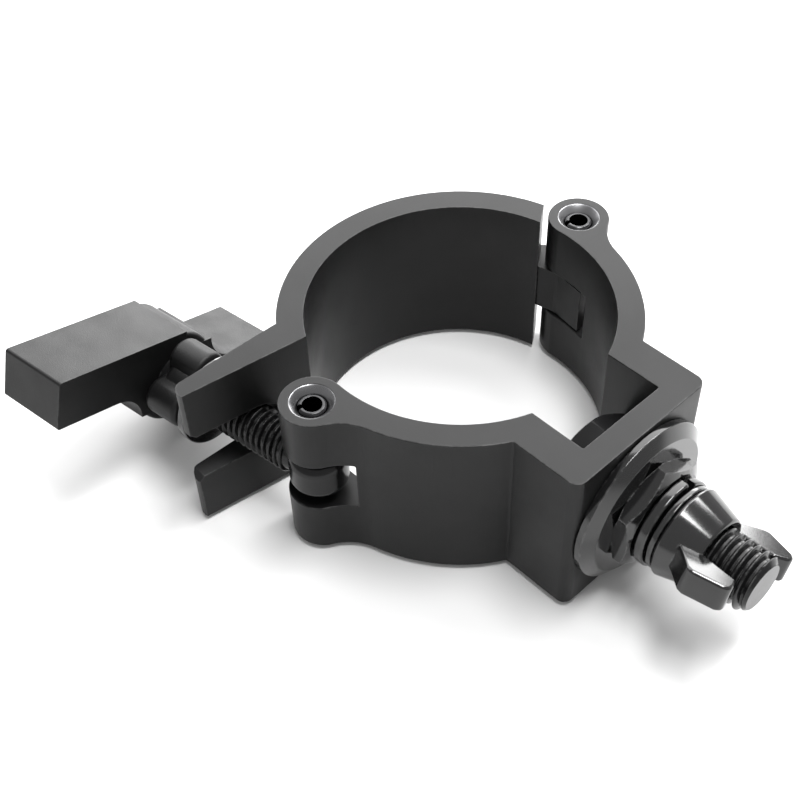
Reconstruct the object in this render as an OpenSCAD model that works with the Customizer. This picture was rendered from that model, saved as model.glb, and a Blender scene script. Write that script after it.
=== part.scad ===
// Hinged pipe clamp with a swing bolt, a winged clamping handle and a
// captive M10 mounting bolt closed by a wing nut.
// Frame: origin at the centre of the bore, z along the tube, x along the
// mounting bolt, y towards the hinge. Millimetres.

/* [Rings] */
// bore of the closed clamp (48-51 mm tube)
bore_d = 51; // [46:0.5:54]
// wall thickness of both halves
wall = 4.5; // [3:0.1:7]
// width of the extruded halves along the tube
width = 30; // [20:1:50]
// x where the hinge window and the bolt slot end
slot_end = 6.6; // [6:0.1:10]
// height of the hinge window, the bolt slot and the fork
slot_h = 10; // [8:0.5:14]

/* [Hinge and bolt bosses] */
// x of both pin axes
pin_x = -1.3; // [-3:0.1:2]
// distance of both pin axes from the bore axis
pin_y = 30.8; // [29:0.1:34]
// radius of the round bosses
boss_r = 5.3; // [4.5:0.1:7]
// radius of the hollow blend from boss to ring
blend_r = 9.3; // [4:0.1:12]
// outside diameter of the slotted spring pins
pin_d = 4.8; // [4:0.1:6]
// mouth of the countersink over each pin
sink_d = 7.2; // [6:0.1:8]
// depth of the pins' ends below the faces of the halves
pin_sink = 0.7; // [0.2:0.1:2]

/* [Foot] */
// width of the foot across y
foot_w = 30; // [24:0.5:40]
// x of the outer face of the foot
foot_x = 38.6; // [36:0.1:44]
// thickness of the foot plate
foot_t = 4.5; // [3:0.1:7]
// width of the pocket that holds the bolt head
pocket_w = 17.4; // [17.2:0.1:20]

/* [Flange of the moving half] */
// x of the outer face of the flange at the ring
flange_x = 18.3; // [16:0.1:22]
// reach of the flange tip from the bore axis
flange_y = 44.6; // [40:0.1:50]
// thickness of the flange
flange_t = 4.8; // [3:0.1:7]

/* [Swing bolt and handle] */
// thread diameter of the swing bolt
swing_d = 8; // [6:1:10]
// length of the swing bolt from its pin axis
swing_l = 50; // [40:1:60]
// height of the bolt's eye along its pin
eye_h = 7.4; // [6:0.1:9.3]
// lean of the swing bolt away from the ring, degrees
lean = 8; // [0:0.5:10]
// distance of the handle washer from the pin axis
thrust_start = 22.6; // [22:0.1:26]
// diameter of the handle washer
thrust_d = 16; // [14:0.5:22]
// thickness of the handle washer
thrust_t = 1.6; // [1:0.1:3]
// distance of the near face of the wings from the pin axis
wing_start = 32.2; // [30:0.1:36]
// thickness of the wings along the bolt
wing_t = 12.8; // [8:0.1:16]
// reach of the long wing from the bolt axis
long_reach = 26.2; // [18:0.1:32]
// reach of the short wing from the bolt axis
short_reach = 24.2; // [18:0.1:32]
// height of each wing
wing_h = 8.8; // [6:0.1:12]
// turn of the handle about the bolt in the stored pose, degrees
handle_turn = 19; // [-90:1:90]

/* [Mounting bolt and hardware] */
// thread diameter of the mounting bolt
bolt_d = 10; // [8:1:12]
// x of the end of the mounting bolt
bolt_end = 62.8; // [56:0.1:72]
// across flats of the bolt head and of the lock nut
hex_af = 17; // [13:0.5:19]
// height of the bolt head
head_h = 6.4; // [5:0.1:8]
// diameter of the wide washer
wide_d = 28.8; // [20:0.1:32]
// thickness of the wide washer
wide_t = 2.6; // [1:0.1:4]
// height of the lock nut
nut_h = 3.2; // [3:0.1:6]
// outside diameter of the split washer
split_d = 15.8; // [14:0.1:18]
// thickness of the split washer
split_t = 2.2; // [1.5:0.1:3]
// outside diameter of the small flat washer
flat_d = 15; // [14:0.1:20]
// thickness of the small flat washer
flat_t = 1; // [0.8:0.1:2]
// turn of the wing nut about the bolt in the stored pose, degrees
nut_turn = 22; // [-90:1:90]
// length of the wing nut's hub
hub_l = 6.4; // [5:0.1:9]

/* [Hidden] */
$fn = 96;
bore_r = bore_d / 2;
ring_r = bore_r + wall;
run = 0.05;  // radial clearance of pins and threads
side = 0.35; // axial clearance of the pieces that turn on the pins
air = 0.2;   // gap between pieces that screw or slide apart
loose = 0.3; // radial clearance of a washer on its bolt
pin_r = pin_d / 2;
bolt_r = bolt_d / 2;
swing_r = swing_d / 2;
eps = 0.01;
plate_x = foot_x - foot_t;
wide_x = foot_x + wide_t;
nut_x = wide_x + nut_h;
split_x = nut_x + air;
flat_x = split_x + split_t;
wing_x = flat_x + flat_t + air;
handle_start = thrust_start + thrust_t + air;
// centre of the blend circle, tangent to the boss and to the ring
blend_a = 72.4;
blend_c = (ring_r + blend_r) * [cos(blend_a), sin(blend_a)];

// ---------- helpers ----------

// a tube or bar along x, from x = a to x = b
module along_x(a, b, r) { translate([a, 0, 0]) rotate([0, 90, 0]) cylinder(h = b - a, r = r); }

// a cone along x
module cone_x(a, b, r1, r2) {
  translate([a, 0, 0]) rotate([0, 90, 0]) cylinder(h = b - a, r1 = r1, r2 = r2);
}

// a hexagonal bar along x with flats facing +-y
module hex_x(a, b, af) {
  translate([a, 0, 0]) rotate([0, 90, 0]) cylinder(h = b - a, r = af / sqrt(3), $fn = 6);
}

// places a piece on the pin axis at side s (+1 hinge, -1 swing bolt)
module at_pin(s) { translate([pin_x, s * pin_y, 0]) children(); }

// frame of the swing bolt: x runs along the bolt away from its pin
module on_bolt() { translate([pin_x, -pin_y, 0]) rotate([0, 0, 180 + lean]) children(); }

// a slab centred on z = 0
module slab(h) { linear_extrude(height = h, center = true) children(); }

// what is cut away to round a corner that points to +x +y, from its centre
module round_corner(r) {
  difference() {
    square(r + 1);
    circle(r = r, $fn = 48);
  }
}

// ---------- fixed half with the bosses and the foot ----------

module boss_2d(s) {
  mirror([0, s > 0 ? 0 : 1]) {
    translate([pin_x, pin_y]) circle(r = boss_r);
    difference() {
      polygon([[pin_x, pin_y], [0, bore_r + 1], [8, ring_r - 4], blend_c]);
      translate(blend_c) circle(r = blend_r);
      circle(r = bore_r);
    }
  }
}

module foot_2d() {
  difference() {
    translate([22, -foot_w / 2]) square([foot_x - 22, foot_w]);
    for (s = [-1, 1])
      mirror([0, s > 0 ? 0 : 1])
        translate([foot_x - 1.8, foot_w / 2 - 1.8]) round_corner(1.8);
  }
}

module lower_2d() {
  difference() {
    union() {
      difference() {
        circle(r = ring_r);
        translate([-60 + pin_x, -50]) square([60, 100]);
      }
      for (s = [-1, 1]) boss_2d(s);
      foot_2d();
    }
    circle(r = bore_r);
    // pocket for the bolt head, open to the bore
    translate([20, -pocket_w / 2]) square([plate_x - 20, pocket_w]);
  }
}

module lower_half() {
  color("DimGray")
    difference() {
      slab(width) lower_2d();
      for (s = [-1, 1]) {
        // window through the boss
        slab(slot_h) translate([-12, s > 0 ? 22 : -40]) square([12 + slot_end, 18]);
        at_pin(s) {
          cylinder(h = width + 2, r = pin_r, center = true);
          for (m = [0, 1])
            mirror([0, 0, m])
              translate([0, 0, width / 2 - (sink_d - pin_d) / 2])
                cylinder(h = (sink_d - pin_d) / 2 + eps, r1 = pin_r, r2 = sink_d / 2 + eps);
        }
      }
      along_x(plate_x - 1, foot_x + 1, bolt_r + 0.25);
    }
}

// ---------- moving half with the knuckle and the forked flange ----------

module flange_2d() {
  // the flange leans with the swing bolt
  root_y = -sqrt(ring_r * ring_r - flange_x * flange_x);
  tip = [-flange_x - 0.6, -flange_y];
  difference() {
    polygon([[-flange_x, root_y + 1.5], [-flange_x, root_y - 1], [tip[0], tip[1] + 1.6],
             [tip[0] + 0.6, tip[1] + 0.5], [tip[0] + 1.3, tip[1] + 0.1], [tip[0] + 2.2, tip[1]],
             [tip[0] + 2.8, tip[1] + 0.15], [-flange_x + flange_t + 0.9, -22.3],
             [-flange_x + flange_t, -20], [-flange_x + 1, -20]]);
    circle(r = bore_r);
  }
}

module upper_2d() {
  difference() {
    circle(r = ring_r);
    circle(r = bore_r);
    // end face at the hinge
    polygon([[-8.9, 31.5], [-8.2, 29.6], [-4.6, 24.4], [-3, 20], [40, 20], [40, 40], [-8.9, 40]]);
    // everything on the side of the fixed half and beyond the flange
    polygon([[0, -40], [-flange_x + 1, -40], [-flange_x + 1, -23], [-flange_x + flange_t, -20],
             [0, -10], [0, 20], [-3, 20.5], [60, 40], [60, -60], [0, -60]]);
  }
  flange_2d();
}

module knuckle_2d() {
  translate([pin_x, pin_y]) circle(r = 4.8);
  // arm to the ring, and the nose that closes the bore under the pin
  polygon([[pin_x - 1, pin_y + 4.65], [-9.5, 29.4], [-8, 24.35], [pin_x, 26.1],
           [slot_end - 1.7, 25.25], [slot_end - 1.7, 26.8], [pin_x + 3.4, 29.2]]);
}

module upper_half() {
  color("Gray")
    difference() {
      union() {
        slab(width) upper_2d();
        slab(slot_h - 2 * side) knuckle_2d();
      }
      at_pin(1) cylinder(h = width, r = pin_r + run, center = true);
      // fork: open at the tip, round at the ring side
      on_bolt() {
        translate([10, 0, -slot_h / 2 + 0.15]) cube([16, 30, slot_h - 0.3]);
        along_x(10, 26, slot_h / 2 - 0.15);
      }
      // lead-in chamfers at the mouth of the fork
      for (m = [0, 1])
        mirror([0, 0, m])
          translate([-flange_x - 8, -flange_y - 1.2, slot_h / 2 - 1.6])
            rotate([-45, 0, 0]) translate([0, -6, -4]) cube([20, 6, 8]);
    }
}

// ---------- pins ----------

module spring_pin(slit_a) {
  h = width - 2 * pin_sink;
  difference() {
    cylinder(h = h, r = pin_r, center = true);
    cylinder(h = h + 1, r = pin_r - 0.8, center = true);
    rotate([0, 0, slit_a]) translate([0, -0.4, -h]) cube([pin_d, 0.8, 2 * h]);
  }
}

module hinge_pin() { color("Silver") at_pin(1) spring_pin(-120); }

module bolt_pin() { color("Silver") at_pin(-1) spring_pin(-120); }

// ---------- swing bolt and handle ----------

module swing_bolt() {
  color("SlateGray")
    on_bolt()
      difference() {
        union() {
          cylinder(h = eye_h, r = 4.9, center = true);
          along_x(0, swing_l - 0.8, swing_r);
          cone_x(swing_l - 0.8 - eps, swing_l, swing_r, swing_r - 0.8);
        }
        cylinder(h = 30, r = pin_r + run, center = true);
      }
}

// one wing of the handle seen along the bolt, with its share of the web
module wing_2d(reach) {
  difference() {
    union() {
      translate([-1.2, -0.1]) square([reach + 1.2, wing_h]);
      translate([0, -5.2]) square([12.5, 5.2]);
    }
    // hollow blend between the wing and the web
    translate([13.6, -6.2]) circle(r = 6.1);
    translate([reach - 0.5, wing_h - 0.6]) round_corner(0.5);
    translate([reach - 0.5, 0.4]) mirror([0, 1]) round_corner(0.5);
  }
}

module handle_2d() {
  wing_2d(long_reach);
  rotate(180) wing_2d(short_reach);
  circle(r = wing_h - 0.4);
}

// neck between the wings and the bearing face: a round core with four lobes
module neck_2d() {
  circle(r = 5.9);
  for (a = [0 : 90 : 270])
    rotate(a - 5) translate([4.7, 0]) circle(r = 3.8);
}

module extrude_x(a, b) {
  translate([a, 0, 0]) rotate([90, 0, 90]) linear_extrude(height = b - a) children();
}

module handle_washer() {
  color("Silver")
    on_bolt()
      difference() {
        along_x(thrust_start, thrust_start + thrust_t, thrust_d / 2);
        along_x(thrust_start - 1, thrust_start + thrust_t + 1, swing_r + loose);
      }
}

module handle() {
  color("DarkSlateGray")
    on_bolt()
      rotate([handle_turn, 0, 0])
        difference() {
          union() {
            extrude_x(wing_start, wing_start + wing_t) handle_2d();
            extrude_x(handle_start, wing_start + eps) neck_2d();
          }
          along_x(handle_start - 1, wing_start + wing_t + 1, swing_r + run);
        }
}

// ---------- mounting bolt and its hardware ----------

module mount_bolt() {
  color("SlateGray") {
    intersection() {
      hex_x(plate_x - head_h, plate_x, hex_af);
      cone_x(plate_x - head_h, plate_x, hex_af / 2 - 0.2, hex_af / 2 - 0.2 + head_h * 1.732);
    }
    along_x(plate_x - eps, bolt_end - 0.8, bolt_r);
    cone_x(bolt_end - 0.8 - eps, bolt_end, bolt_r, bolt_r - 0.8);
  }
}

module wide_washer() {
  color("Black")
    difference() {
      union() {
        along_x(foot_x, wide_x - 1.2, wide_d / 2);
        cone_x(wide_x - 1.2 - eps, wide_x, wide_d / 2, wide_d / 2 - 1.9);
      }
      along_x(foot_x - 1, wide_x + 1, bolt_r + 0.25);
    }
}

module lock_nut() {
  color("DimGray")
    difference() {
      intersection() {
        hex_x(wide_x, nut_x, hex_af);
        cone_x(wide_x, nut_x, hex_af / 2 - 0.3 + nut_h * 1.732, hex_af / 2 - 0.3);
      }
      along_x(wide_x - 1, nut_x + 1, bolt_r);
    }
}

module split_washer() {
  color("Black")
    difference() {
      along_x(split_x, flat_x, split_d / 2);
      along_x(split_x - 1, flat_x + 1, bolt_r + loose);
      // the slanted cut
      rotate([205, 0, 0]) translate([split_x + split_t / 2, 3, 0]) rotate([0, 20, 0])
        translate([-4, 0, -0.5]) cube([8, 8, 1]);
    }
}

module flat_washer() {
  color("DimGray")
    difference() {
      along_x(flat_x, flat_x + flat_t, flat_d / 2);
      along_x(flat_x - 1, flat_x + 2, bolt_r + loose);
    }
}

// one wing of the wing nut: [x, distance from the bolt axis]
module nut_wing() {
  pts = [[0.6, 4.8], [1, 5.4], [7.6, 10.4], [8.6, 10.6], [13.6, 9], [14.3, 8.2],
         [14.2, 7.2], [12.6, 5.6], [6, 5.4], [5, 4.8]];
  translate([wing_x, 0, 0]) slab(4.6) polygon(pts);
}

module wing_nut() {
  color("Gray")
    rotate([-nut_turn, 0, 0])
      difference() {
        union() {
          cone_x(wing_x, wing_x + hub_l, 7.9, 6.3);
          for (a = [0, 180]) rotate([a, 0, 0]) nut_wing();
        }
        along_x(wing_x - 1, wing_x + 20, bolt_r + run);
      }
}

lower_half();
upper_half();
hinge_pin();
bolt_pin();
swing_bolt();
handle_washer();
handle();
mount_bolt();
wide_washer();
lock_nut();
split_washer();
flat_washer();
wing_nut();
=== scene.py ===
import math

import bmesh
import bpy
from mathutils import Matrix, Vector


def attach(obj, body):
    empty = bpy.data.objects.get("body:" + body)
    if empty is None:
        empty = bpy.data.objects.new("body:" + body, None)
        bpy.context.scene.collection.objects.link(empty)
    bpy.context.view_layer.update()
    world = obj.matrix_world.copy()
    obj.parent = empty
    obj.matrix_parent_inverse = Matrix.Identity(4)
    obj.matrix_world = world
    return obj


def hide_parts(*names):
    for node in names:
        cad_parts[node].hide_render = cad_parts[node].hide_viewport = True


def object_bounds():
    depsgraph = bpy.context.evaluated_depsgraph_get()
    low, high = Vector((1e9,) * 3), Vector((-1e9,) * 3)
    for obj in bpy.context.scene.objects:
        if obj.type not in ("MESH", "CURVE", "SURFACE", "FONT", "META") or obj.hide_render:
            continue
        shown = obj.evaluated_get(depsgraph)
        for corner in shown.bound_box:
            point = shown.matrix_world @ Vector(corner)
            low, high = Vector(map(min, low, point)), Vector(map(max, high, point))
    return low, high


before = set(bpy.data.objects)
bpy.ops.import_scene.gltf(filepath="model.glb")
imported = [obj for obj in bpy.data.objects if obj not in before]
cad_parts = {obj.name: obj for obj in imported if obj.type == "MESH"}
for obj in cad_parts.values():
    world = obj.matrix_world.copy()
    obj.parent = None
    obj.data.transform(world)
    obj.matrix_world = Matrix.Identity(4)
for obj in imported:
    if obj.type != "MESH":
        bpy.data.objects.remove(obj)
cad_box = [list(map(float, p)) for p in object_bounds()]
MM = 0.001

# ---------- values of the part, in millimetres ----------
BORE_R, RING_R, HALF_W = 25.5, 30.0, 15.0
PIN_X, PIN_Y, BOSS_R, BLEND_R = -1.3, 30.8, 5.3, 9.3
SLOT_END, SLOT_H = 6.6, 10.0
PLATE_X, FOOT_X, FOOT_W, POCKET_W = 34.1, 38.6, 30.0, 17.4
LEAN, HANDLE_TURN, NUT_TURN = 8.0, 19.0, 22.0
FOOT_CORNER_R = 1.8
PIN_HALF, PIN_GAP = 14.3, 13       # half a spring pin's length, half its slot in degrees
KNUCKLE_H, RUN_R = 4.65, 2.45      # half height of the knuckle, radius of the running bores
FLANGE_X, FLANGE_Y, FLANGE_T = 18.3, 44.6, 4.8
FORK_W = 4.85                      # half width of the fork's slot
HANDLE_SPAN = (32.2, 45.0)         # the wings' extent along the swing bolt
NUT_X = 48.0                       # the wing nut's near face
EDGE = 0.28                        # bevel of the extrusions' edges

AT_BOLT = (Matrix.Translation((PIN_X, -PIN_Y, 0))
           @ Matrix.Rotation(math.radians(180 + LEAN), 4, "Z"))
AT_HANDLE = AT_BOLT @ Matrix.Rotation(math.radians(HANDLE_TURN), 4, "X")
ALONG_X = Matrix.Rotation(math.radians(90), 4, "Y")    # a lathe's axis turned to +x
# an outline (y, z) drawn with its height along x
SECTION_X = Matrix(((0, 0, 1, 0), (1, 0, 0, 0), (0, 1, 0, 0), (0, 0, 0, 1)))


# ---------- mesh helpers, in millimetres until a piece is placed ----------
def new_object(name, verts, faces, weld=1e-5):
    """A mesh object. Faces with a repeated corner, as at a thread's ends, are left out."""
    bm = bmesh.new()
    vs = [bm.verts.new(v) for v in verts]
    for f in faces:
        if len(set(f)) == len(f):
            bm.faces.new([vs[i] for i in f])
    bmesh.ops.remove_doubles(bm, verts=bm.verts, dist=weld)
    bmesh.ops.dissolve_degenerate(bm, dist=1e-6, edges=bm.edges)
    bmesh.ops.recalc_face_normals(bm, faces=bm.faces)
    me = bpy.data.meshes.new(name)
    bm.to_mesh(me)
    bm.free()
    o = bpy.data.objects.new(name, me)
    bpy.context.scene.collection.objects.link(o)
    return o


def arc(c, r, a0, a1, step=0.6):
    """Points of an arc from a0 to a1 degrees, about step millimetres apart."""
    n = max(2, math.ceil(abs(math.radians(a1 - a0)) * r / step))
    return [(c[0] + r * math.cos(math.radians(a0 + (a1 - a0) * i / n)),
             c[1] + r * math.sin(math.radians(a0 + (a1 - a0) * i / n))) for i in range(n + 1)]


def prism(outline, z0, z1, at=None):
    """A closed outline of (x, y) raised from z0 to z1, then moved by at."""
    pts = []
    for p in outline:
        if not pts or math.dist(p, pts[-1]) > 1e-3:
            pts.append(p)
    if math.dist(pts[0], pts[-1]) < 1e-3:
        pts.pop()
    n = len(pts)
    verts = [(x, y, z0) for x, y in pts] + [(x, y, z1) for x, y in pts]
    faces = [list(range(n))[::-1], list(range(n, 2 * n))]
    faces += [(i, (i + 1) % n, n + (i + 1) % n, n + i) for i in range(n)]
    o = new_object("prism", verts, faces)
    if at:
        o.data.transform(at)
    return o


def lathe(profile, at=None, a0=0.0, a1=360.0, step=3.0, rise=0.0):
    """A closed outline of (radius, height) turned about z. rise lifts the far end of the turn."""
    full = abs(a1 - a0) >= 360 and not rise
    n = math.ceil((a1 - a0) / step)
    cols = n if full else n + 1
    m = len(profile)
    verts, faces = [], []
    for i in range(cols):
        a = math.radians(a0 + (a1 - a0) * i / n)
        lift = rise * (i / n - 0.5)
        verts += [(r * math.cos(a), r * math.sin(a), h + lift) for r, h in profile]
    for i in range(n):
        j = (i + 1) % cols
        for k in range(m):
            q = (k + 1) % m
            if profile[k][0] < 1e-6 and profile[q][0] < 1e-6:
                continue
            f = [i * m + k, j * m + k, j * m + q, i * m + q]
            if profile[k][0] < 1e-6:
                f.pop(1)
            elif profile[q][0] < 1e-6:
                f.pop(2)
            faces.append(f)
    if not full:
        faces += [list(range(m)), list(range((cols - 1) * m, cols * m))[::-1]]
    o = new_object("lathe", verts, faces)
    if at:
        o.data.transform(at)
    return o


def rounded(r0, r1, h0, h1, f, n=3):
    """The outline of a ring from r0 to r1 and from h0 to h1, with its outer corners rounded by f."""
    low = arc((r1 - f, h0 + f), f, -90, 0, f * 1.57 / n)
    top = arc((r1 - f, h1 - f), f, 0, 90, f * 1.57 / n)
    return [(r0, h0)] + low + top + [(r0, h1)]


def thread(x0, x1, r, pitch, start=0.0, end=0.0, n=72):
    """A rod along x with a real helical 60 degree thread, chamfered by start and end."""
    depth = 0.6 * pitch
    # one pitch of the profile: (part of the pitch, part of the depth)
    shape = [(0, 0), (0.06, 0), (0.19, 0), (0.25, 0.02), (0.35, 0.31), (0.46, 0.68), (0.555, 0.97),
             (0.6, 1), (0.65, 1), (0.695, 0.97), (0.79, 0.68), (0.9, 0.31)]
    m = len(shape)
    rows = m * (math.ceil((x1 - x0) / pitch) + 3)

    def radius(x, a):
        t = ((x - x0) / pitch - a) % 1.0
        pts = shape + [(1.0, 0)]
        for (t0, v0), (t1, v1) in zip(pts, pts[1:]):
            if t0 <= t <= t1:
                v = v0 + (v1 - v0) * (t - t0) / (t1 - t0)
                break
        base = r - depth * (1 - v)
        if start:
            base = min(base, r - start + (x - x0))
        if end:
            base = min(base, r - end + (x1 - x))
        return base

    verts, faces = [], []
    for i in range(n):
        a = i / n
        for k in range(rows):
            x = x0 - 2 * pitch + pitch * (k // m + shape[k % m][0]) + pitch * a
            x = min(max(x, x0), x1)
            rr = radius(x, a)
            verts.append((x, rr * math.cos(2 * math.pi * a), rr * math.sin(2 * math.pi * a)))
    for i in range(n):
        j, s = ((i + 1), 0) if i + 1 < n else (0, m)
        for k in range(rows - 1):
            a, b = min(k + s, rows - 1), min(k + 1 + s, rows - 1)
            faces.append((i * rows + k, j * rows + a, j * rows + b, i * rows + k + 1))
    faces.append([i * rows for i in range(n)])
    faces.append([i * rows + rows - 1 for i in range(n)][::-1])
    return new_object("thread", verts, [list(f) for f in faces], 1e-4)


def settle(o):
    """Applies the modifiers of an object."""
    dg = bpy.context.evaluated_depsgraph_get()
    dg.update()
    me = bpy.data.meshes.new_from_object(o.evaluated_get(dg))
    old = o.data
    o.modifiers.clear()
    o.data = me
    bpy.data.meshes.remove(old)
    return o


def combine(o, other, how="DIFFERENCE"):
    """Cuts other from o, or joins it, and removes other."""
    m = o.modifiers.new("cut", "BOOLEAN")
    m.operation, m.solver, m.object = how, "EXACT", other
    settle(o)
    bpy.data.objects.remove(other)
    return o


def bevel(o, width, segments=2, angle=28):
    """Rounds the edges sharper than angle degrees."""
    m = o.modifiers.new("bevel", "BEVEL")
    m.width, m.segments, m.limit_method = width, segments, "ANGLE"
    m.angle_limit = math.radians(angle)
    m.use_clamp_overlap, m.miter_outer = True, "MITER_ARC"
    return settle(o)


def place(o, name, body, node, material, at=None, smooth=34):
    """Names the piece, sets it in the frame in metres, and shades it smooth between its edges."""
    me = o.data
    if at:
        me.transform(at)
    me.transform(Matrix.Scale(MM, 4))
    o.name = me.name = name
    me.materials.clear()
    me.materials.append(material)
    for p in me.polygons:
        p.material_index = 0
    me.shade_smooth()
    me.set_sharp_from_angle(angle=math.radians(smooth))
    w = o.modifiers.new("normals", "WEIGHTED_NORMAL")
    w.keep_sharp, w.weight = True, 60
    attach(o, body)
    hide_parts(node)
    return o


# ---------- materials ----------
def material(name, dark, light, rough, rough_range, specular, metallic=0.0, grain=(9000, 9000, 120),
             bump=0.04, patch=60.0, edge=0.0, edge_colour=0.2, coat=0.0):
    """A finish: two tones in soft patches, a fine grain, worn edges."""
    m = bpy.data.materials.new(name)
    m.use_nodes = True
    nt = m.node_tree
    n, link = nt.nodes, nt.links
    p = n["Principled BSDF"]
    p.inputs["Metallic"].default_value = metallic
    p.inputs["Specular IOR Level"].default_value = specular
    if coat:
        p.inputs["Coat Weight"].default_value = coat
        p.inputs["Coat Roughness"].default_value = 0.1
    tc = n.new("ShaderNodeTexCoord")

    def noise(scale, detail=4.0, vector=None):
        t = n.new("ShaderNodeTexNoise")
        t.inputs["Scale"].default_value = scale
        t.inputs["Detail"].default_value = detail
        link.new(vector or tc.outputs["Object"], t.inputs["Vector"])
        return t.outputs["Fac"]

    def ramp(source, a, b, ca, cb):
        r = n.new("ShaderNodeMapRange")
        for key, v in zip(("From Min", "From Max", "To Min", "To Max"), (a, b, ca, cb)):
            r.inputs[key].default_value = v
        link.new(source, r.inputs["Value"])
        return r.outputs["Result"]

    stretch = n.new("ShaderNodeMapping")
    stretch.inputs["Scale"].default_value = grain
    link.new(tc.outputs["Object"], stretch.inputs["Vector"])
    fine = noise(1.0, 3.0, stretch.outputs["Vector"])
    broad = noise(patch, 3.0)
    mix = n.new("ShaderNodeMix")
    mix.data_type = "RGBA"
    mix.inputs["A"].default_value = (dark, dark, dark * 1.03, 1)
    mix.inputs["B"].default_value = (light, light, light * 1.03, 1)
    link.new(ramp(broad, 0.35, 0.65, 0, 1), mix.inputs["Factor"])
    colour = mix.outputs["Result"]
    if edge:
        # bare metal shows faintly where handling wears the edges
        bev = n.new("ShaderNodeBevel")
        bev.inputs["Radius"].default_value = 0.0005
        bev.samples = 4
        geo = n.new("ShaderNodeNewGeometry")
        dot = n.new("ShaderNodeVectorMath")
        dot.operation = "DOT_PRODUCT"
        link.new(bev.outputs["Normal"], dot.inputs[0])
        link.new(geo.outputs["Normal"], dot.inputs[1])
        worn = n.new("ShaderNodeMath")
        worn.operation = "MULTIPLY"
        link.new(ramp(dot.outputs["Value"], 0.98, 0.8, 0, edge), worn.inputs[0])
        link.new(ramp(noise(900.0, 5.0), 0.42, 0.62, 0, 1), worn.inputs[1])
        e = n.new("ShaderNodeMix")
        e.data_type = "RGBA"
        link.new(worn.outputs["Value"], e.inputs["Factor"])
        link.new(colour, e.inputs["A"])
        e.inputs["B"].default_value = (edge_colour, edge_colour, edge_colour, 1)
        colour = e.outputs["Result"]
    link.new(colour, p.inputs["Base Color"])
    add = n.new("ShaderNodeMath")
    add.operation = "MULTIPLY_ADD"
    link.new(fine, add.inputs[0])
    add.inputs[1].default_value = rough_range
    link.new(ramp(noise(patch * 3, 4.0), 0.3, 0.7, rough - rough_range, rough), add.inputs[2])
    link.new(add.outputs["Value"], p.inputs["Roughness"])
    b = n.new("ShaderNodeBump")
    b.inputs["Strength"].default_value = bump
    b.inputs["Distance"].default_value = 0.0001
    link.new(fine, b.inputs["Height"])
    link.new(b.outputs["Normal"], p.inputs["Normal"])
    return m


ANODISED = material("anodised_black", 0.003, 0.006, 0.36, 0.08, 0.2, bump=0.12,
                    edge=0.5, edge_colour=0.08)
CASTING = material("handle_coating", 0.003, 0.005, 0.42, 0.1, 0.2, grain=(5000, 5000, 5000),
                   bump=0.25, edge=0.4, edge_colour=0.07)
STEEL = material("black_zinc", 0.002, 0.005, 0.12, 0.05, 0.42,
                 grain=(3000, 9000, 9000), bump=0.06, edge=0.6, edge_colour=0.2, coat=0.3)
THREAD = material("black_zinc_thread", 0.002, 0.006, 0.2, 0.08, 0.24, grain=(6000, 3000, 3000),
                  bump=0.08, edge=0.35, edge_colour=0.15)
PIN = material("spring_steel", 0.03, 0.05, 0.26, 0.1, 0.5, metallic=1.0, grain=(9000, 9000, 900),
               bump=0.08)
BARE = material("bare_sink", 0.1, 0.22, 0.3, 0.12, 0.5, metallic=1.0, bump=0.05)

# ---------- fixed half ----------
PIN_POS = (PIN_X, PIN_Y)
pin_dist, pin_angle = math.hypot(*PIN_POS), math.degrees(math.atan2(PIN_Y, PIN_X))
a, b, c = RING_R + BLEND_R, pin_dist, BOSS_R + BLEND_R
blend_angle = pin_angle - math.degrees(math.acos((a * a + b * b - c * c) / (2 * a * b)))
BLEND = (a * math.cos(math.radians(blend_angle)), a * math.sin(math.radians(blend_angle)))
to_pin = math.degrees(math.atan2(PIN_Y - BLEND[1], PIN_X - BLEND[0])) % 360
cut_angle = math.degrees(math.acos(PIN_X / BORE_R))
foot_angle = math.degrees(math.asin(FOOT_W / 2 / RING_R))
pocket_angle = math.degrees(math.asin(POCKET_W / 2 / BORE_R))
O = (0.0, 0.0)
side = arc(O, RING_R, foot_angle, blend_angle)
side += arc(BLEND, BLEND_R, blend_angle + 180, to_pin)[1:]
side += arc(PIN_POS, BOSS_R, to_pin - 180, 269)[1:]
mirrored_side = [(x, -y) for x, y in side][::-1]
corner_x, corner_y = FOOT_X - FOOT_CORNER_R, FOOT_W / 2 - FOOT_CORNER_R
foot = arc((corner_x, -corner_y), FOOT_CORNER_R, -90, 0, 0.3)
foot += arc((corner_x, corner_y), FOOT_CORNER_R, 0, 90, 0.3)
inner = arc(O, BORE_R, cut_angle, pocket_angle)
inner += [(PLATE_X, POCKET_W / 2), (PLATE_X, -POCKET_W / 2)]
inner += arc(O, BORE_R, -pocket_angle, -cut_angle)
lower = prism(mirrored_side + foot + side + inner, -HALF_W, HALF_W)
for s in (1, -1):
    box = [(-12, 22 * s), (SLOT_END, 22 * s), (SLOT_END, 40 * s), (-12, 40 * s)]
    combine(lower, prism(box, -SLOT_H / 2, SLOT_H / 2))
    pin_hole = [(0, -16), (3.75, -16), (3.6, -15), (2.4, -13.8),
                (2.4, 13.8), (3.6, 15), (3.75, 16), (0, 16)]
    combine(lower, lathe(pin_hole, Matrix.Translation((PIN_X, s * PIN_Y, 0)), step=6))
bolt_hole = [(0, PLATE_X - 2), (5.25, PLATE_X - 2), (5.25, FOOT_X + 2), (0, FOOT_X + 2)]
combine(lower, lathe(bolt_hole, ALONG_X))
bevel(lower, EDGE)
place(lower, "fixed_half", "frame", "lower_half", ANODISED)
lower.data.materials.append(BARE)
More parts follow.
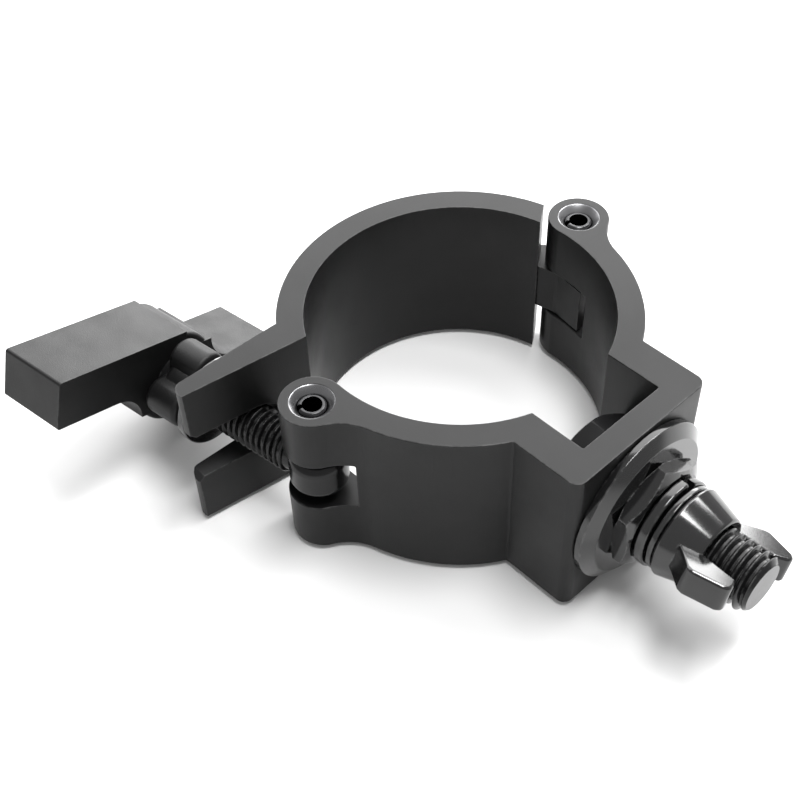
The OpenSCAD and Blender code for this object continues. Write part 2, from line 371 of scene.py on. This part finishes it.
for face in lower.data.polygons:
    # the countersinks' cones are bare metal
    at = face.center / MM
    reach = min(math.hypot(at.x - PIN_X, at.y - s * PIN_Y) for s in (1, -1))
    if reach < 3.55 and 13.8 < abs(at.z) < 14.95 and abs(face.normal.z) > 0.3:
        face.material_index = 1

# ---------- moving half ----------
def on_line(r, p=(-8.2, 29.6), q=(-4.6, 24.4)):
    """The angle at which the line from p to q first meets the circle of radius r."""
    d = (q[0] - p[0], q[1] - p[1])
    qa, qb = d[0] ** 2 + d[1] ** 2, 2 * (p[0] * d[0] + p[1] * d[1])
    qc = p[0] ** 2 + p[1] ** 2 - r * r
    t = (-qb - math.sqrt(qb * qb - 4 * qa * qc)) / (2 * qa)
    return math.degrees(math.atan2(p[1] + t * d[1], p[0] + t * d[0]))


outer_end = on_line(RING_R)
inner_end = on_line(BORE_R)
flange_outer = 180 + math.degrees(math.asin(math.sqrt(RING_R ** 2 - FLANGE_X ** 2) / RING_R))
flange_inner = 180 + math.degrees(math.acos((FLANGE_X - FLANGE_T - 0.9) / BORE_R))
outline = arc(O, RING_R, outer_end, flange_outer)
outline += [(-FLANGE_X - 0.05, -24.9), (-FLANGE_X - 0.6, -FLANGE_Y + 1.6)]
outline += [(-FLANGE_X - 0.4, -FLANGE_Y + 1.0), (-FLANGE_X, -FLANGE_Y + 0.5),
            (-FLANGE_X + 0.7, -FLANGE_Y + 0.1), (-FLANGE_X + 1.6, -FLANGE_Y),
            (-FLANGE_X + 2.2, -FLANGE_Y + 0.15)]
outline += arc(O, BORE_R, flange_inner, inner_end)
upper = prism(outline, -HALF_W, HALF_W)
knuckle = [(PIN_X - 1, PIN_Y + 4.65), (-9.5, 29.4), (-8, 24.6), (PIN_X, 26.1), (SLOT_END - 1.7, 25.25),
           (SLOT_END - 1.7, 26.8), (PIN_X + 3.4, 29.2)]
combine(upper, prism(knuckle, -KNUCKLE_H, KNUCKLE_H), "UNION")
combine(upper, prism(arc(PIN_POS, 4.8, 0, 360, 0.5), -KNUCKLE_H, KNUCKLE_H), "UNION")
combine(upper, prism(arc(PIN_POS, RUN_R, 0, 360, 0.4), -20, 20))
fork = [(0, -FORK_W), (30, -FORK_W), (30, FORK_W), (0, FORK_W)]
fork += arc(O, FORK_W, 90, 270, 0.4)[1:-1]
combine(upper, prism(fork, 10, 26, AT_BOLT @ SECTION_X))
for s in (1, -1):
    lead = [(-46, 0), (-46, 7.2 * s), (-44.6, 5.9 * s), (-43.5, 4.8 * s), (-43.5, 0)]
    combine(upper, prism(lead, -24, -8, SECTION_X))
bevel(upper, EDGE)
place(upper, "moving_half", "jaw", "upper_half", ANODISED)

# ---------- spring pins ----------
for s, name, node in ((1, "hinge_spring_pin", "hinge_pin"), (-1, "bolt_spring_pin", "bolt_pin")):
    section = [(1.6, -PIN_HALF), (1.95, -PIN_HALF), (2.25, -PIN_HALF + 0.25), (2.4, -PIN_HALF + 0.7),
               (2.4, PIN_HALF - 0.7), (2.25, PIN_HALF - 0.25), (1.95, PIN_HALF), (1.6, PIN_HALF)]
    pin = lathe(section, Matrix.Translation((PIN_X, s * PIN_Y, 0)), -120 + PIN_GAP, 240 - PIN_GAP, 5)
    bevel(pin, 0.08, 2)
    place(pin, name, "frame", node, PIN)

# ---------- swing bolt ----------
eye = lathe([(RUN_R, -3.7)] + arc((3.0, -1.8), 1.9, -90, 0, 0.3) + arc((3.0, 1.8), 1.9, 0, 90, 0.3)
            + [(RUN_R, 3.7)], step=5)
shank = lathe([(0, 3.3), (3.0, 3.3), (3.5, 5.0), (3.5, 7.0), (0, 7.0)], ALONG_X, step=5)
combine(eye, shank, "UNION")
combine(eye, thread(4.4, 50.0, 4.0, 1.25, start=0.7, end=0.8), "UNION")
place(eye, "eye_bolt", "swing", "swing_bolt", THREAD, AT_BOLT, smooth=40)

# ---------- handle washer ----------
thrust_washer = lathe(rounded(4.3, 8.0, 22.6, 24.2, 0.35), ALONG_X)
place(thrust_washer, "thrust_washer", "thrust", "handle_washer", STEEL, AT_BOLT)


# ---------- handle ----------
def wing(reach, length):
    """One wing of the handle, reaching out in y over the given length of the bolt."""
    top = 8.7
    pts = [(0, -5.2), (7.58, -5.2)] + arc((13.6, -6.2), 6.1, 170.6, 90, 0.5)
    pts += arc((reach - 0.5, 0.4), 0.5, -90, 0, 0.25) + arc((reach - 0.5, top - 0.5), 0.5, 0, 90, 0.25)
    pts += [(-1.2, top), (-1.2, -0.1), (0, -0.1)]
    return bevel(prism(pts, *length, SECTION_X), 0.4, 3, 34)


handle = wing(26.2, HANDLE_SPAN)
short = wing(24.2, HANDLE_SPAN)
short.data.transform(Matrix.Rotation(math.pi, 4, "X"))
combine(handle, short, "UNION")
hub = lathe([(0, 32.25)] + arc((7.6, 33.0), 0.75, -90, 0, 0.3) + arc((7.6, 44.2), 0.75, 0, 90, 0.3)
            + [(0, 44.95)], ALONG_X)
combine(handle, hub, "UNION")
neck = lathe([(0, 24.4)] + arc((5.1, 25.2), 0.8, -90, 0, 0.3) + arc((4.7, 29.6), 1.2, 0, 80, 0.3)
             + [(4.9, 31.0), (4.9, 33.5), (0, 33.5)], ALONG_X)
combine(handle, neck, "UNION")
for turn in (-5, 85, 175, 265):
    rib = prism([(1.0, -3.3)] + arc((4.9, 0), 3.6, -66, 66, 0.4) + [(1.0, 3.3)], 24.4, 31.4)
    bevel(rib, 1.0, 4, 50)
    rib.data.transform(Matrix.Rotation(math.radians(turn), 4, "X") @ SECTION_X)
    combine(handle, rib, "UNION")
bore = [(0, 20), (4.05, 20), (4.05, 44.2), (4.9, 45.05), (4.9, 50), (0, 50)]
combine(handle, lathe(bore, ALONG_X))
place(handle, "clamping_handle", "handle", "handle", CASTING, AT_HANDLE, smooth=36)

# ---------- mounting bolt, wide washer, lock nut and loose washers ----------
def hexagon(af, x0, x1, cone):
    """A hexagonal bar along x, cut by a turned outline that chamfers its corners."""
    r = af / math.sqrt(3)
    corners = [(r * math.sin(math.radians(60 * i)), -(r * math.cos(math.radians(60 * i))))
               for i in range(6)]
    o = prism(corners, x0, x1, SECTION_X)
    return combine(o, lathe(cone, ALONG_X, step=4), "INTERSECT")


head = hexagon(17, 27.7, 34.1, [(0, 27.7), (8.1, 27.7), (9.9, 28.75), (9.9, 34.1), (0, 34.1)])
bevel(head, 0.18, 2)
combine(head, thread(33.9, 62.8, 5.0, 1.5, end=1.0), "UNION")
place(head, "mounting_bolt", "frame", "mount_bolt", THREAD, smooth=40)

wide = lathe([(5.25, 38.6)] + arc((14.1, 38.9), 0.3, -90, 0, 0.2) + arc((14.1, 39.75), 0.3, 0, 32, 0.2)
             + arc((12.3, 41.0), 0.2, 58, 90, 0.1) + [(5.25, 41.2)], ALONG_X)
place(wide, "wide_washer_ring", "frame", "wide_washer", STEEL)

nut = hexagon(17, 41.2, 44.4, [(0, 41.2), (8.7, 41.2), (9.9, 41.9), (9.9, 43.3), (8.0, 44.4), (0, 44.4)])
combine(nut, lathe([(0, 40), (5.0, 40), (5.0, 43.8), (5.6, 44.45), (5.6, 46), (0, 46)], ALONG_X))
bevel(nut, 0.15, 2)
place(nut, "lock_nut_hex", "frame", "lock_nut", STEEL)

split = lathe(rounded(5.3, 7.9, 44.85, 46.55, 0.4),
              ALONG_X @ Matrix.Rotation(math.radians(160), 4, "Z"), 4, 354, 4, rise=0.45)
place(split, "split_washer_ring", "loose_washers", "split_washer", STEEL)

flat = lathe(rounded(5.3, 7.5, 46.8, 47.8, 0.25), ALONG_X)
place(flat, "flat_washer_ring", "loose_washers", "flat_washer", STEEL)

# ---------- wing nut ----------
wing_nut = lathe([(0, NUT_X)] + arc((7.3, NUT_X + 0.6), 0.6, -90, 10, 0.25)
                 + arc((5.75, NUT_X + 5.8), 0.6, 10, 90, 0.25) + [(0, NUT_X + 6.4)], ALONG_X)
ear = [(0.6, 3.6), (1.0, 5.2), (7.6, 10.3), (8.6, 10.6), (13.6, 9.0), (14.3, 8.2), (14.2, 7.2),
       (12.6, 5.6), (6.4, 5.2), (5.6, 3.6)]
for turn, lean in ((0, 0.4), (180, -1.0)):
    ear_solid = prism([(NUT_X + x + (lean if y > 6 else 0), y) for x, y in ear], -2.3, 2.3)
    bevel(ear_solid, 0.6, 3, 24)
    ear_solid.data.transform(Matrix.Rotation(math.radians(turn), 4, "X"))
    combine(wing_nut, ear_solid, "UNION")
bore = [(0, 40), (5.05, 40), (5.05, NUT_X + 5.7), (5.8, NUT_X + 6.45), (5.8, NUT_X + 20),
        (0, NUT_X + 20)]
combine(wing_nut, lathe(bore, ALONG_X))
place(wing_nut, "wing_nut_casting", "wing_nut", "wing_nut", STEEL,
      Matrix.Rotation(math.radians(-NUT_TURN), 4, "X"), smooth=40)

# ---------- floor, light and camera ----------
low = cad_box[0][2]
ground = bpy.data.meshes.new("floor")
ground.from_pydata([(-3, -3, low), (3, -3, low), (3, 3, low), (-3, 3, low)], [], [(0, 1, 2, 3)])
floor = bpy.data.objects.new("floor", ground)
bpy.context.scene.collection.objects.link(floor)
floor_material = bpy.data.materials.new("pale_floor")
floor_material.use_nodes = True
floor_shader = floor_material.node_tree.nodes["Principled BSDF"]
floor_shader.inputs["Base Color"].default_value = (0.6, 0.6, 0.6, 1)
floor_shader.inputs["Roughness"].default_value = 0.9
floor_shader.inputs["Specular IOR Level"].default_value = 0.1
ground.materials.append(floor_material)

world = bpy.data.worlds.new("studio")
bpy.context.scene.world = world
world.use_nodes = True
world.node_tree.nodes["Background"].inputs["Color"].default_value = (1, 1, 1, 1)
world.node_tree.nodes["Background"].inputs["Strength"].default_value = 0.75
bpy.context.scene.view_settings.view_transform = "Standard"

SENSOR, LENS = 36.0, 36.0 * 1304.6 / 800     # millimetres
CAMERA_DISTANCE = 219.4
AZ, EL, ROLL = math.radians(48.15), math.radians(47.39), math.radians(-2.3)
back = Vector((math.sin(AZ) * math.cos(EL), -math.cos(AZ) * math.cos(EL), math.sin(EL)))
right = Vector((math.cos(AZ), math.sin(AZ), 0))
up = back.cross(right)
rolled_right = right * math.cos(ROLL) + up * math.sin(ROLL)
rolled_up = up * math.cos(ROLL) - right * math.sin(ROLL)
aim = Vector((-2.19, -11.89, 0)) * MM


def area(name, direction, distance, size, power):
    light = bpy.data.lights.new(name, "AREA")
    light.shape, light.size, light.size_y, light.energy = "RECTANGLE", size[0], size[1], power
    o = bpy.data.objects.new(name, light)
    bpy.context.scene.collection.objects.link(o)
    d = Vector(direction).normalized()
    o.location = aim + d * distance
    o.rotation_euler = d.to_track_quat("Z", "Y").to_euler()


# the flat top faces mirror softbox_top; the others light the back, the rims and the hub
area("softbox_top", (-back.x, -back.y, back.z), 0.7, (1.2, 0.6), 11)
area("softbox_low", (-0.55, 0.79, 0.2), 0.8, (0.7, 0.25), 6)
area("strip_zenith", (0.165, 0.08, 0.98), 0.6, (0.3, 0.13), 4.2)
area("strip_back", (0.11, 0.62, 0.78), 0.6, (0.1, 0.26), 2.2)

cam = bpy.data.cameras.new("camera")
cam.sensor_width, cam.lens = SENSOR, LENS
cam.clip_start, cam.clip_end = 0.01, 20
camera = bpy.data.objects.new("camera", cam)
bpy.context.scene.collection.objects.link(camera)
rot = Matrix((rolled_right, rolled_up, back)).transposed()
camera.matrix_world = Matrix.Translation(aim + back * CAMERA_DISTANCE * MM) @ rot.to_4x4()
bpy.context.scene.camera = camera
